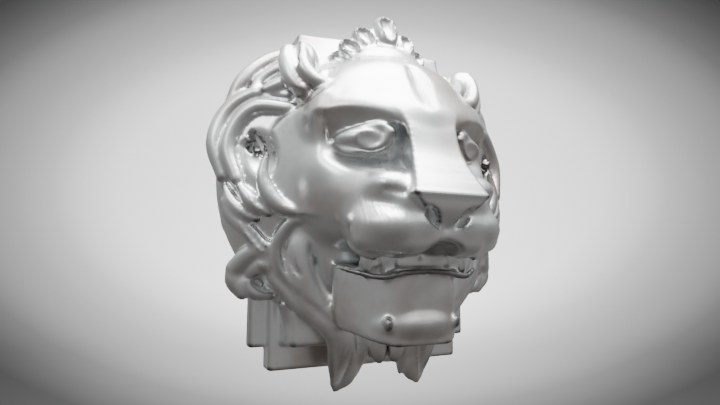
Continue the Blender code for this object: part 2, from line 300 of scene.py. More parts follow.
class Clay:
    """A block of clay as a grid of distances, to which forms are added and from which they are cut."""

    def __init__(self, low: Point, high: Point, grain: float) -> None:
        """Lays out the grid.

        Args:
            low: the grid's lowest corner.
            high: its highest corner.
            grain: the distance between two of its points.
        """
        self.axes = [np.arange(a, b + grain, grain, dtype=np.float32) for a, b in zip(low, high)]
        self.grain = grain
        self.field = np.full([len(axis) for axis in self.axes], FAR, np.float32)

    def _near(self, form: Form, blend: float) -> tuple[tuple[slice, ...], list[np.ndarray]]:
        """The part of the grid that a form can change.

        Args:
            form: the form.
            blend: the width of its fillet.

        Returns:
            The part's slices and its coordinates.
        """
        window, reach = [], blend + 4 * self.grain
        for axis, low, high in zip(self.axes, form.low - reach, form.high + reach):
            window.append(slice(int(np.searchsorted(axis, low)), int(np.searchsorted(axis, high))))
        parts = (axis[part] for axis, part in zip(self.axes, window))
        return tuple(window), np.meshgrid(*parts, indexing="ij", sparse=True)

    def add(self, form: Form, blend: float = 0.0) -> None:
        """Joins a form.

        Args:
            form: the form.
            blend: about how wide the fillet round it is.
        """
        window, grid = self._near(form, blend)
        old, new = self.field[window], form.distance(*grid)
        soft = np.maximum(blend - np.abs(old - new), 0.0) / max(blend, 1e-6)
        self.field[window] = np.minimum(old, new) - soft * soft * blend / 4

    def cut(self, form: Form, blend: float = 0.0) -> None:
        """Cuts a form away.

        Args:
            form: the form.
            blend: about how wide its rim is rounded.
        """
        window, grid = self._near(form, blend)
        old, new = self.field[window], -form.distance(*grid)
        soft = np.maximum(blend - np.abs(old - new), 0.0) / max(blend, 1e-6)
        self.field[window] = np.maximum(old, new) + soft * soft * blend / 4

    def mesh(self, name: str) -> bpy.types.Mesh:
        """The surface of this half and its mirror image.

        Args:
            name: the mesh's name.

        Returns:
            One closed mesh in metres, with the wall's plane at y 0.
        """
        limit = 4 * self.grain
        both = np.clip(np.concatenate([self.field[:0:-1], self.field]), -limit, limit)
        for side in range(3):
            ends = np.moveaxis(both, side, 0)
            ends[0], ends[-1] = limit, limit
        volume = openvdb.FloatGrid(limit)
        volume.copyFromArray(both)
        points, quads = volume.convertToQuads()
        corner = np.array([-self.axes[0][-1], self.axes[1][0] - WALL, self.axes[2][0]])
        mesh = bpy.data.meshes.new(name)
        mesh.from_pydata((points * self.grain + corner) * MM, [], quads[:, ::-1].tolist())
        mesh.validate()
        return mesh


@dataclass
class Backing:
    """The plain masses behind the face: the ruff, the crown block and the stepped blocks at the foot."""

    half_width: float = 176.0
    half_height: float = 168.0
    middle: float = 10.0
    depth: float = 74.0
    rear: float = WALL + 6
    crown_half_width: float = 93.0
    crown_middle: float = 130.0
    crown_top: float = 180.0
    # The shoulders: half width, half height, middle and edge.
    shoulders: tuple[Point, ...] = ((166, 50, 5, 6), (142, 88, 36, 10))
    # The steps: half width, half height, middle and how far they are set back.
    steps: tuple[Point, ...] = ((136, 72, -98, 8), (117, 64, -130, -1))
    plinth: Span = ((0, 0, -115), (106, 28, 52))

    def front(self, x: float, z: float) -> float:
        """Where the ruff's plain surface lies in y at a place of the mane."""
        left = 1.0 - (x / self.half_width) ** 2 - ((z - self.middle) / self.half_height) ** 2
        return -self.depth * math.sqrt(max(left, 0.01))

    def laid(self, points: Sequence[Point], lift: float) -> list[Point]:
        """Lays points (x, z, radius) on the ruff, lifted off it."""
        return [(x, self.front(x, z) - lift, z, radius) for x, z, radius in points]

    def shape(self, clay: Clay) -> None:
        """Adds the masses.

        Args:
            clay: the clay that is worked.
        """
        half = self.rear / 2
        clay.add(ball((0, 0, self.middle), (self.half_width, self.depth, self.half_height)))
        for half_width, half_height, middle, edge in self.shoulders:
            clay.add(block((0, half, middle), (half_width, half + 4, half_height), edge), blend=edge)
        crown = (self.crown_half_width, half + 6, self.crown_top - self.crown_middle)
        clay.add(block((0, half - 6, self.crown_middle), crown, edge=3), blend=24)
        for half_width, half_height, middle, back in self.steps:
            clay.add(block((0, back + half, middle), (half_width, half, half_height), edge=3), blend=3)
        clay.add(block(*self.plinth, edge=5, flare=0.06), blend=3)


@dataclass
class Skull:
    """The cranium, the cheek, the flat temple and the brow over the eye's socket."""

    turn: Point = (0.0, 0.0, 36.0)
    cranium: Span = ((0, -30, 65), (112, 100, 85))
    cheek: Span = ((62, -60, 4), (46, 52, 62))
    snout: Span = ((38, -98, -22), (46, 52, 46))
    temple: Span = ((103, -52, 22), (33, 16, 56))
    temple_turn: Point = (0.0, 0.0, 39.6)
    temple_bound: Span = ((94, -50, 16), (43, 60, 62))
    ridge: Path = ((0, -121, 55, 22), (34, -116, 57, 21), (62, -101, 61, 20), (86, -86, 61, 16))
    knob: Span = ((84, -84, 80), (13, 13, 10))
    frown: Path = ((0, -108, 118, 3), (2, -127, 101, 8), (2, -139, 84, 7), (2, -148, 68, 3))
    socket: Span = ((66, -134, 30), (49, 34, 22))
    roof: Span = ((61, -131, 45), (43, 30, 13))
    roof_tilt: Point = (-55.0, -3.0, 36.0)
    roof_bound: Span = ((58, -138, 48), (60, 46, 32))
    inner_corner: Span = ((38.5, -138, 33), (16.5, 20, 15))
    outer_rim: Path = ((93, -101, 38, 3), (98, -98, 47, 5), (97, -97, 57, 3))

    def shape(self, clay: Clay) -> None:
        """Adds the skull with its brow.

        Args:
            clay: the clay that is worked.
        """
        clay.add(ball(*self.cranium), blend=10)
        clay.add(ball(*self.cheek), blend=14)
        clay.add(ball(*self.snout), blend=16)
        temple = block(*self.temple, edge=2, turn=self.temple_turn)
        clay.add(common(temple, ball(*self.temple_bound)), blend=8)
        clay.add(strand(self.ridge), blend=18)
        clay.add(ball(*self.knob), blend=12)
        clay.cut(strand(self.frown), blend=8)
        clay.cut(ball(*self.socket, self.turn), blend=10)
        roof = block(*self.roof, edge=1.5, turn=self.roof_tilt)
        clay.cut(common(roof, ball(*self.roof_bound, self.turn)), blend=1.5)
        clay.cut(block(*self.inner_corner, edge=4), blend=4)
        clay.cut(strand(self.outer_rim), blend=10)


@dataclass
class Muzzle:
    """The whisker pads with the puff above each, the upper lip and the nose."""

    pad: Span = ((38, -125, -48), (39, 43, 25))
    pad_middle: Span = ((20, -136, -46), (20, 33, 21))
    pad_front: Span = ((42, -129, -54), (29, 25, 17))
    pad_turn: Point = (0.0, -5.0, 28.0)
    pad_inner: Span = ((20, -138, -54), (17, 26, 17))
    inner_turn: Point = (0.0, 0.0, 10.0)
    low_puff: Span = ((34, -146, -24), (16, 22, 16))
    high_puff: Span = ((44, -142, -12), (21, 19, 14))
    parting: Span = ((0, -138, -56), (30, 24, 16))
    puff_crease: Path = ((30, -168, -21, 1), (44, -165, -20, 3), (57, -155, -18, 1))
    lip_arch: Span = ((0, -154, -78), (20, 34, 17))
    lip: Path = ((72, -114, -64, 2), (64, -122, -70, 4), (50, -129, -74, 4.5), (30, -134, -73, 3))
    # The nose from below to above: height, front and half width.
    bridge: tuple[Point, ...] = (
        (-22, -177, 38.5), (-10, -171, 34.5), (2, -164, 31), (16, -156, 28), (27, -150.5, 26.5),
        (37, -147, 26.5), (49, -144, 28), (58, -141, 31), (68, -131, 33), (82, -114, 34),
    )
    bridge_depth: float = 60.0
    nose_front: tuple[Point, ...] = (
        (-57, -148, 2), (-52, -156, 6), (-44, -167, 15), (-35, -173, 25), (-28, -175.5, 33), (-21, -177, 38),
    )
    nose_depth: float = 40.0
    nostril: Path = ((26, -175, -34, 2), (20, -170, -37, 4.5), (15, -165, -43, 5), (10, -159, -51, 3.5))

    def shape(self, clay: Clay) -> None:
        """Adds the pads, then the nose between them.

        Args:
            clay: the clay that is worked.
        """
        clay.add(ball(*self.pad), blend=14)
        clay.add(ball(*self.pad_middle), blend=8)
        clay.add(block(*self.pad_front, edge=10, turn=self.pad_turn), blend=8)
        clay.add(block(*self.pad_inner, edge=9, turn=self.inner_turn), blend=8)
        clay.add(ball(*self.low_puff), blend=10)
        clay.add(ball(*self.high_puff), blend=10)
        clay.add(ball(*self.parting), blend=8)
        clay.cut(strand(self.puff_crease), blend=3)
        clay.cut(ball(*self.lip_arch), blend=4)
        clay.add(strand(self.lip), blend=6)
        clay.add(loft(self.bridge, self.bridge_depth, edge=1.5), blend=5)
        clay.add(loft(self.nose_front, self.nose_depth, edge=2), blend=5)
        clay.cut(strand(self.nostril), blend=2)


@dataclass
class Jaw:
    """The lower jaw with its chin, the open mouth, the gums, the teeth and the lower lip."""

    mass: Span = ((0, -84, -121), (57, 39, 60))
    bound: Span = ((0, -80, -117), (120, 80, 33))
    bound_turn: Point = (9.0, 0.0, 0.0)
    throat: Path = ((92, -56, -146, 20), (62, -92, -168, 18), (44, -118, -176, 16))
    chin: Span = ((3, -103, -138), (43, 26, 18))
    knob: Span = ((36, -119, -136), (5, 7, 7))
    gap: Path = (
        (0, -130, -79, 9), (24, -128, -80, 9), (44, -122, -86, 9), (64, -108, -82, 8), (78, -94, -76, 5),
    )
    mouth: Span = ((0, -112, -80), (52, 22, 8))
    gum: Span = ((12, -101, -80), (44, 20, 14))
    canine: Path = ((35, -119, -62, 9), (35, -118, -78, 8.5), (34, -116, -92, 6))
    side_tooth: Path = ((52, -108, -68, 6.5), (52, -108, -80, 6), (51, -107, -90, 5))
    lip: Path = (
        (78, -96, -85, 1), (66, -110, -88, 2.5), (45, -125, -93, 3), (22, -129, -89, 3),
        (0, -129.5, -88, 2.5),
    )

    def shape(self, clay: Clay) -> None:
        """Adds the jaw, opens the mouth and sets the teeth in it.

        Args:
            clay: the clay that is worked.
        """
        mass = block(*self.mass, edge=22, flare=0.32)
        clay.add(common(mass, block(*self.bound, edge=8, turn=self.bound_turn)), blend=5)
        clay.cut(strand(self.throat), blend=12)
        clay.add(ball(*self.chin), blend=4)
        clay.add(ball(*self.knob), blend=3)
        clay.cut(strand(self.gap), blend=3)
        clay.cut(block(*self.mouth, edge=5), blend=3)
        clay.add(ball(*self.gum), blend=8)
        for tooth in (self.canine, self.side_tooth):
            clay.add(strand(tooth), blend=1.5)
        clay.add(strand(self.lip), blend=7)


@dataclass
class Eye:
    """The eyeball with its hollow pupil, between two lids that meet in the corners."""

    turn: Point = (0.0, 0.0, 36.0)
    eyeball: Span = ((56, -107, 36), (29, 20, 13.5))
    tear_corner: Span = ((42, -122, 37), (10, 8, 10))
    outer: Point = (80, -97, 34, 1)
    inner: Point = (38, -131, 40, 5)
    upper_lid: Path = ((70, -110, 43, 2), (56, -121, 47, 3), (45, -128, 46, 4.5))
    lower_lid: Path = ((70, -109, 30, 2), (57, -120, 25.5, 3.5), (46, -127, 28, 4.5))
    pupil: Span = ((57, -130, 33), (12, 5, 7))

    def shape(self, clay: Clay) -> None:
        """Adds the eye.

        Args:
            clay: the clay that is worked.
        """
        clay.add(ball(*self.eyeball, self.turn), blend=2)
        clay.add(ball(*self.tear_corner, self.turn), blend=3)
        for lid in (self.upper_lid, self.lower_lid):
            clay.add(strand([self.outer, *lid, self.inner]), blend=3)
        clay.cut(ball(*self.pupil, self.turn), blend=4)


@dataclass
class Forelock:
    """The forelock that stands like a scallop shell on the forehead: petals, each hollow in front."""

    dome: Span = ((0, -44, 128), (53, 33, 38))
    # The petals: foot, tip and half width.
    petals: tuple[tuple[Point, Point, float], ...] = (
        ((0, -54, 160), (0, -45, 188), 14.5), ((20, -54, 152), (27, -42, 174), 12.5),
        ((33, -54, 143), (44, -40, 159), 11), ((42, -54, 134), (55, -38, 145), 9.5),
    )

    def shape(self, clay: Clay) -> None:
        """Adds the petals on their dome and hollows them.

        Args:
            clay: the clay that is worked.
        """
        clay.add(ball(*self.dome), blend=8)
        petals = [(np.array(foot, float), np.array(tip, float), half) for foot, tip, half in self.petals]
        clay.add(strand([(*(tip + (0, 4, -4)), 0.72 * half) for foot, tip, half in petals]), blend=3)
        for foot, tip, half in petals:
            low, middle = foot + (0, 12, -10), (foot + tip) / 2
            clay.add(strand([(*low, 0.9 * half), (*middle, 0.95 * half), (*tip, half)]), blend=2)
        for petal in petals:
            clay.cut(strand(self.flute(*petal)), blend=1)

    def flute(self, foot: np.ndarray, tip: np.ndarray, half: float) -> list[Point]:
        """The hollow in a petal's front, which widens from its foot to its tip.

        Args:
            foot: the petal's foot.
            tip: its tip.
            half: its half width.

        Returns:
            The hollow's knots.
        """
        out, fore = (tip - foot) / np.linalg.norm(tip - foot), np.array([0.0, -half, 0.0])
        stops = ((0.6 * foot + 0.4 * tip + 0.95 * fore, 0.2), (0.3 * foot + 0.7 * tip + 0.85 * fore, 0.5))
        stops += ((tip + 0.85 * fore, 0.66), (tip + 0.5 * half * out + 0.9 * fore, 0.64))
        return [(*place, share * half) for place, share in stops]


@dataclass
class Ear:
    """The ear: a hollow facing inward, a thick ridge in front and a slot on its outer side."""

    core: Span = ((98, -50, 122), (17, 20, 28))
    outer: Path = ((113, -44, 140, 9), (115, -50, 126, 10), (112, -58, 108, 10), (104, -66, 92, 9))
    front: Path = (
        (103, -58, 141, 7), (105, -64, 131, 8), (103, -70, 114, 8.5), (93, -76, 101, 8), (79, -80, 97, 7),
    )
    cup: Span = ((83, -84, 127), (13, 26, 22))
    cup_turn: Point = (0.0, 0.0, 15.0)
    slot: Path = ((109, -56, 150, 3), (111, -64, 135, 5), (110, -69, 119, 3))
    notch: Span = ((80, -80, 110), (7, 14, 5))
    notch_turn: Point = (0.0, 40.0, 0.0)
    crease: Path = ((118, -64, 90, 4), (104, -82, 84, 5), (94, -92, 88, 4))

    def shape(self, clay: Clay) -> None:
        """Adds the ear.

        Args:
            clay: the clay that is worked.
        """
        clay.add(ball(*self.core), blend=6)
        clay.add(strand(self.outer), blend=3)
        clay.add(strand(self.front), blend=2)
        clay.cut(ball(*self.cup, self.cup_turn), blend=2)
        clay.cut(strand(self.slot), blend=1)
        clay.cut(ball(*self.notch, self.notch_turn), blend=1)
        clay.cut(strand(self.crease), blend=3)


@dataclass
class Mane:
    """The locks on the ruff in their ring, with the recess and the broken hollow inside it."""

    backing: Backing
    recess: Span = ((148, -54, 38), (20, 20, 36))
    recess_turn: Point = (0.0, 20.0, 0.0)
    # The broken hollow: what is cut away and the chips left in it, each with its turn.
    pits: tuple[tuple[Point, Point, Point], ...] = (
        ((148, -38, 42), (9, 15, 9), (0, 45, 30)),
        ((140, -40, 34), (5, 12, 7), (0, 60, 20)),
    )
    chips: tuple[tuple[Point, Point, Point], ...] = (
        ((149, -29, 44), (5, 8, 4), (20, 30, 50)),
        ((141, -34, 34), (4, 6, 3), (40, 10, 10)),
    )
    # Locks and furrows as points (x, z, radius) on the ruff, and how far they are lifted off it.
    locks: tuple[tuple[Path, float], ...] = (
        (((104, 150, 10), (122, 142, 10), (140, 128, 10), (154, 110, 10), (164, 90, 7)), 2),
        (((104, 131, 8), (122, 124, 8), (136, 112, 8), (143, 98, 6)), 6),
        (((106, 110, 8), (120, 104, 8), (134, 98, 6)), 8),
        (((112, 92, 7), (142, 96, 9), (166, 78, 11), (178, 44, 11), (171, 8, 8)), 1),
        (((112, 76, 7), (142, 79, 8), (160, 62, 9), (168, 34, 9), (160, 2, 7)), 4),
        (((136, 26, 3), (139, 4, 7), (133, -14, 9), (122, -26, 8), (110, -30, 5)), 9),
        (((170, -4, 4), (163, -20, 7), (153, -31, 7), (142, -37, 4)), 5),
        (((157, -6, 5), (146, -21, 9), (132, -31, 5)), 6),
        (((166, -20, 9), (161, -33, 10), (149, -47, 9), (133, -66, 9), (124, -84, 8)), 2),
        (((133, -64, 9), (146, -74, 10), (156, -86, 9)), 3),
        (((130, -82, 10), (141, -90, 9), (144, -101, 8), (136, -110, 8), (120, -112, 7)), 5),
        (((154, -84, 9), (156, -98, 9), (147, -110, 8)), 1),
    )
    furrows: tuple[tuple[Path, float], ...] = (
        (((150, -12, 1), (143, -22, 3), (134, -29, 1)), 15),
        (((158, -36, 1), (147, -52, 4), (136, -66, 2)), 14),
        (((124, -90, 4), (132, -98, 6), (128, -106, 3)), 12),
    )

    def shape(self, clay: Clay) -> None:
        """Hollows the recess and lays the locks.

        Args:
            clay: the clay that is worked.
        """
        clay.cut(ball(*self.recess, self.recess_turn), blend=4)
        for centre, half, turn in self.pits:
            clay.cut(block(centre, half, edge=1, turn=turn), blend=1)
        for centre, half, turn in self.chips:
            clay.add(block(centre, half, edge=1, turn=turn), blend=1)
        for points, lift in self.locks:
            clay.add(strand(self.backing.laid(points, lift)), blend=2)
        for points, lift in self.furrows:
            clay.cut(strand(self.backing.laid(points, lift)), blend=2)


@dataclass
class Leaf:
    """The broad leaf behind the mouth's corner, in its curled rim."""

    face: Path = ((88, -46, -42, 13), (95, -44, -64, 19), (92, -42, -92, 20), (80, -42, -118, 18))
    flat: float = 1.4
    rim: Path = (
        (92, -60, -34, 5), (108, -57, -38, 6), (118, -51, -51, 6.5), (122, -46, -67, 6.5),
        (118, -44, -84, 6), (110, -45, -95, 5), (99, -47, -104, 5.5),
    )
    groove: Path = (
        (98, -64, -43, 1.5), (107, -60, -52, 3), (111, -56, -66, 3.5), (108, -54, -82, 3),
        (100, -55, -93, 1.5),
    )

    def shape(self, clay: Clay) -> None:
        """Adds the leaf.

        Args:
            clay: the clay that is worked.
        """
        clay.add(strand(self.face, self.flat), blend=3)
        clay.add(strand(self.rim), blend=2)
        clay.cut(strand(self.groove), blend=1.5)


@dataclass
class Beard:
    """The long locks that hang beside and under the jaw."""

    throat: Span = ((0, -8, -128), (44, 24, 54))
    tuft: Path = ((30, -24, -178, 10), (14, -26, -180, 9), (0, -26, -180, 8))
    side: Path = (
        (84, -42, -112, 18), (66, -44, -134, 17), (49, -40, -154, 16), (41, -33, -176, 14),
        (40, -28, -196, 12), (47, -24, -207, 7), (51, -22, -216, 1),
    )
    side_flat: float = 1.5
    ridge: Path = (
        (126, -32, -80, 7), (118, -36, -98, 8), (103, -38, -116, 8), (88, -42, -130, 7), (72, -46, -144, 6),
        (62, -42, -160, 5), (57, -33, -184, 5), (53, -24, -207, 2),
    )
    high_fold: Path = ((106, -52, -108, 1), (92, -55, -120, 3), (76, -58, -133, 4), (60, -58, -147, 2))
    low_fold: Path = ((42, -58, -150, 1), (43, -50, -168, 4), (47, -38, -188, 4), (50, -30, -204, 1))
    hook: Path = ((104, -20, -124, 8), (97, -17, -142, 8), (96, -15, -156, 6), (94, -13, -166, 2))
    barb: Path = ((96, -17, -148, 6), (86, -16, -158, 5), (73, -18, -158, 3))
    inner: Path = ((28, -44, -140, 8), (25, -38, -164, 8), (27, -28, -188, 6), (28, -22, -203, 2))
    chin_tuft: Span = ((12, -46, -162), (11, 9, 24))
    chin_tuft_turn: Point = (0.0, 10.0, 0.0)

    def shape(self, clay: Clay) -> None:
        """Adds the locks, from the broad one at the side to the small ones.

        Args:
            clay: the clay that is worked.
        """
        clay.add(block(*self.throat, edge=12), blend=8)
        clay.add(strand(self.tuft), blend=6)
        clay.add(strand(self.side, self.side_flat), blend=3)
        clay.add(strand(self.ridge), blend=5)
        for fold in (self.high_fold, self.low_fold):
            clay.cut(strand(fold), blend=3)
        for lock in (self.hook, self.barb, self.inner):
            clay.add(strand(lock), blend=3)
        clay.add(ball(*self.chin_tuft, self.chin_tuft_turn), blend=2)


def set_stops(ramp: bpy.types.ColorRampElements, stops: Sequence[tuple[float, Colour]]) -> None:
    """Sets a ramp's stops.

    Args:
        ramp: its elements, of which it has two.
        stops: position and colour of each stop, in rising order.
    """
    for i, (place, colour) in enumerate((stops[0], stops[-1])):
        ramp[i].position, ramp[i].color = place, (*colour, 1.0)
    for place, colour in stops[1:-1]:
        ramp.new(place).color = (*colour, 1.0)


class Shade:
    """A socket of a material in an expression: an operator adds the Math node that does it."""

    def __init__(self, tree: bpy.types.NodeTree, socket: bpy.types.NodeSocket) -> None:
        """Wraps a socket of a node tree."""
        self.tree, self.socket = tree, socket

    def node(
        self, kind: str, inputs: dict[int | str, object] | None = None, output: int = 0, **settings: object
    ) -> Shade:
        """Adds a node.

        Args:
            kind: the node's type.
            inputs: values or shades for its sockets, by number or name.
            output: which of its outputs is wanted.
            settings: its properties, set before its sockets; stops are a ramp's (position, colour) pairs.

        Returns:
            The node's output.
        """
        made = self.tree.nodes.new(kind)
        for name, value in settings.items():
            if name == "stops":
                set_stops(made.color_ramp.elements, value)
            else:
                setattr(made, name, value)
        for key, value in (inputs or {}).items():
            if isinstance(value, Shade):
                self.tree.links.new(value.socket, made.inputs[key])
            else:
                made.inputs[key].default_value = value
        return Shade(self.tree, made.outputs[output])

    def math(self, task: Maths, first: object, second: object = 0.0) -> Shade:
        """Adds a Math node on one or two values."""
        return self.node("ShaderNodeMath", {0: first, 1: second}, operation=task.value)

    def __add__(self, other: object) -> Shade:
        """Adds a value."""
        return self.math(Maths.ADD, self, other)

    def __sub__(self, other: object) -> Shade:
        """Takes a value away."""
        return self.math(Maths.SUBTRACT, self, other)

    def __rsub__(self, other: object) -> Shade:
        """Takes this from a value."""
        return self.math(Maths.SUBTRACT, other, self)

    def __mul__(self, other: object) -> Shade:
        """Multiplies by a value."""
        return self.math(Maths.MULTIPLY, self, other)

    def __truediv__(self, other: object) -> Shade:
        """Divides by a value."""
        return self.math(Maths.DIVIDE, self, other)

    __radd__ = __add__
    __rmul__ = __mul__

    def between(self, low: float, high: float) -> Shade:
        """How far this lies from low to high, from 0 to 1 with soft ends."""
        settings = {"interpolation_type": "SMOOTHSTEP", "clamp": True}
        return self.node("ShaderNodeMapRange", {0: self, 1: low, 2: high, 3: 0.0, 4: 1.0}, **settings)


@dataclass(frozen=True)
class CastMetal:
    """The casting's finish: bright satin metal, with shade painted dark into its hollows, rubbed on its
    ridges and stained.
    """

    bright: Colour = (0.78, 0.80, 0.80)
    # The painted shade: a near black laid into the hollows, where shade falls.
    painted_shade: Colour = (0.07, 0.063, 0.060)
    warm: Colour = (0.50, 0.45, 0.42)
    rubbed: Colour = (0.92, 0.92, 0.92)
    # How much of each colour covers the bright metal.
    warm_share: float = 0.8
    painted_shade_share: float = 0.9
    rubbed_share: float = 0.35
    # The noises: clouds of stain, fine grain, pits and whisker strokes.
    cloud_noise: Pair = (9.0, 5.0)
    grain_noise: Pair = (420.0, 3.0)
    pit_noise: Pair = (130.0, 4.0)
    stroke_noise: Pair = (320.0, 1.0)
    # The soft steps: off the wall in metres, how sharp hollows and ridges are, and how dense the stain is.
    wall_step: Pair = (0.0004, 0.004)
    hollow_step: Pair = (0.445, 0.497)
    ridge_step: Pair = (0.52, 0.60)
    stain_step: Pair = (0.45, 0.64)
    # The roughness, and how much the clouds, hollows, pits and ridges change it.
    roughness: float = 0.30
    cloud_rough: float = 0.12
    hollow_rough: float = 0.14
    pit_rough: float = 0.10
    ridge_rough: float = 0.06
    # The relief, and how much pits, grain and whisker strokes count in it.
    relief_strength: float = 0.10
    relief_depth: float = 0.0008
    pit_relief: float = 0.7
    grain_relief: float = 0.3
    stroke_relief: float = 3.0
    # The strokes: their middle on the pad, their tilt, how narrow they are, and their soft steps.
    whisker_spot: Point = (0.054, -0.172, -0.030)
    whisker_tilt: float = -0.5
    whisker_scale: Point = (1.0, 0.12, 0.12)
    whisker_reach: Pair = (0.010, 0.030)
    stroke_step: Pair = (0.42, 0.66)

    def material(self) -> bpy.types.Material:
        """Makes the material.

        Returns:
            The material, with its patterns on Object coordinates.
        """
        metal = bpy.data.materials.new("satin_silver_casting")
        metal.use_nodes = True
        tree = metal.node_tree
        shader = tree.nodes["Principled BSDF"]
        shader.inputs["Metallic"].default_value = 1.0
        place = Shade(tree, tree.nodes.new("ShaderNodeTexCoord").outputs["Object"])
        edges = Shade(tree, tree.nodes.new("ShaderNodeNewGeometry").outputs["Pointiness"])
        cloud = self.noise(place, *self.cloud_noise)
        grain = self.noise(place, *self.grain_noise)
        pits = self.noise(place, *self.pit_noise)
        depth = place.node("ShaderNodeSeparateXYZ", {0: place}, output=1)
        off_wall = (0.0 - depth).between(*self.wall_step)
        # Where the hollows lie, by pointiness, kept off the flat back: it paints shade into the colour and
        # roughens the metal.
        hollow = (1.0 - edges.between(*self.hollow_step)) * off_wall
        ridge = edges.between(*self.ridge_step) * off_wall
        stain = cloud.between(*self.stain_step)
        colour = self.mix(place, self.bright, self.warm, stain * self.warm_share)
        # Painted shade: the hollows are darkened towards a near black.
        colour = self.mix(place, colour, self.painted_shade, hollow * self.painted_shade_share)
        colour = self.mix(place, colour, self.rubbed, ridge * self.rubbed_share)
        tree.links.new(colour.socket, shader.inputs["Base Color"])
        rough = self.roughness + self.cloud_rough * (cloud - 0.5) + self.hollow_rough * hollow
        rough = rough + self.pit_rough * (pits - 0.5) - self.ridge_rough * ridge
        tree.links.new(rough.socket, shader.inputs["Roughness"])
        relief = pits * self.pit_relief + grain * self.grain_relief
        relief = relief + self.stroke_relief * self.whiskers(place)
        inputs = {"Strength": self.relief_strength, "Distance": self.relief_depth, "Height": relief}
        tree.links.new(place.node("ShaderNodeBump", inputs).socket, shader.inputs["Normal"])
        return metal

    def whiskers(self, place: Shade) -> Shade:
        """Fine strokes on the upper part of each whisker pad.

        Args:
            place: the Object coordinates.

        Returns:
            The strokes' height, from 0 to 1.
        """
        parts = [place.node("ShaderNodeSeparateXYZ", {0: place}, output=i) for i in range(3)]
        side = place.math(Maths.ABSOLUTE, parts[0])
        near = place.node("ShaderNodeCombineXYZ", {0: side, 1: parts[1], 2: parts[2]})
        ends = {0: near, 1: self.whisker_spot}
        gap = place.node("ShaderNodeVectorMath", ends, output=1, operation="DISTANCE")
        along = {"Vector": near, "Rotation": (0.0, self.whisker_tilt, 0.0), "Scale": self.whisker_scale}
        strokes = self.noise(place.node("ShaderNodeMapping", along), *self.stroke_noise)
        return (1.0 - gap.between(*self.whisker_reach)) * strokes.between(*self.stroke_step)

    def noise(self, place: Shade, scale: float, detail: float) -> Shade:
        """A noise of the given scale, from 0 to 1."""
        return place.node("ShaderNodeTexNoise", {"Vector": place, "Scale": scale, "Detail": detail})

    def mix(self, place: Shade, first: Shade | Colour, second: Colour, share: Shade) -> Shade:
        """Mixes two colours.

        Args:
            place: any shade of the tree.
            first: the colour underneath.
            second: the colour laid over it.
            share: how much of the second one shows.

        Returns:
            The mixed colour.
        """
        start = first if isinstance(first, Shade) else (*first, 1.0)
        ends = {0: share, 6: start, 7: (*second, 1.0)}
        return place.node("ShaderNodeMix", ends, output=2, data_type="RGBA")


def count_triangles(piece: bpy.types.Object) -> int:
    """How many triangles a piece's faces come to."""
    return sum(len(face.vertices) - 2 for face in piece.data.polygons)


@dataclass
class LionHead:
    """The whole mask: its clay, its mesh and its finish."""

    # The block of clay: its two corners and its grain, in millimetres.
    low: Point = (0.0, -190.0, -222.0)
    high: Point = (200.0, WALL + 12, 212.0)
    grain: float = 1.85
    # The mesh: its triangles, the angle in degrees at which an edge is sharp, and from which y of its normal
    # on a face belongs to the flat back.
    triangles: int = 190000
    sharp_angle: float = 50.0
    back_facing: float = 0.99
    finish: CastMetal = CastMetal()

    def build(self) -> bpy.types.Object:
        """Works the clay, cuts the back of its mesh flat, thins it out and dresses it.

        Returns:
            The finished piece.
        """
        backing = Backing()
        clay = Clay(self.low, self.high, self.grain)
        face = (Skull(), Muzzle(), Jaw(), Eye())
        hair = (Forelock(), Ear(), Mane(backing), Leaf(), Beard())
        for form in (backing, *face, *hair):
            form.shape(clay)
            LOG.info("shaped: %s", type(form).__name__)
        bpy.ops.object.select_all(action="DESELECT")
        head = bpy.data.objects.new("lion_head_casting", clay.mesh("lion_head_casting"))
        bpy.context.scene.collection.objects.link(head)
        bpy.context.view_layer.objects.active = head
        head.select_set(True)
        self.clean(head)
        self.flatten(head)
        self.thin_out(head)
        bpy.ops.object.shade_smooth_by_angle(angle=math.radians(self.sharp_angle))
        for polygon in head.data.polygons:
            polygon.use_smooth = polygon.normal.y < self.back_facing
        head.data.materials.append(self.finish.material())
        return head

    def clean(self, head: bpy.types.Object) -> None:
        """Removes the small bubbles that forms can enclose between them, and smooths the surface lightly.

        Args:
            head: the mask, of which only what hangs together with its foremost point is kept.
        """
        places = np.empty(len(head.data.vertices) * 3)
        head.data.vertices.foreach_get("co", places)
        foremost = int(places[1::3].argmin())
        bpy.ops.object.mode_set(mode="EDIT")
        bpy.ops.mesh.select_mode(type="VERT")
        bpy.ops.mesh.select_all(action="DESELECT")
        bpy.ops.object.mode_set(mode="OBJECT")
        head.data.vertices[foremost].select = True
        bpy.ops.object.mode_set(mode="EDIT")
        bpy.ops.mesh.select_linked()
        bpy.ops.mesh.select_all(action="INVERT")
        bpy.ops.mesh.delete(type="VERT")
        bpy.ops.mesh.select_all(action="SELECT")
        bpy.ops.mesh.vertices_smooth(factor=0.5, repeat=2)
        bpy.ops.object.mode_set(mode="OBJECT")

    def flatten(self, head: bpy.types.Object) -> None:
        """Cuts the back off flat at the wall.

        Args:
            head: the mask, selected and active.
        """
        wall = {"plane_co": (0, 0, 0), "plane_no": (0, 1, 0)}
        bpy.ops.object.mode_set(mode="EDIT")
        bpy.ops.mesh.select_all(action="SELECT")
        bpy.ops.mesh.bisect(**wall, use_fill=True, clear_outer=True, threshold=1e-6)
        bpy.ops.object.mode_set(mode="OBJECT")

    def thin_out(self, head: bpy.types.Object) -> None:
        """Brings the mesh down to the number of triangles it may have.

        Args:
            head: the mask, selected and active.
        """
        count = count_triangles(head)
        thin = head.modifiers.new("thin out", "DECIMATE")
        thin.ratio = min(1.0, self.triangles / count)
        bpy.ops.object.modifier_apply(modifier=thin.name)
        LOG.info("thinned out from %d triangles", count)


def select_edges(piece: bpy.types.Object, test: Callable[[Vector], bool]) -> None:
    """Selects the edges both of whose ends pass a test of their place, in object mode."""
    for edge in piece.data.edges:
        edge.select = all(test(piece.data.vertices[i].co) for i in edge.vertices)


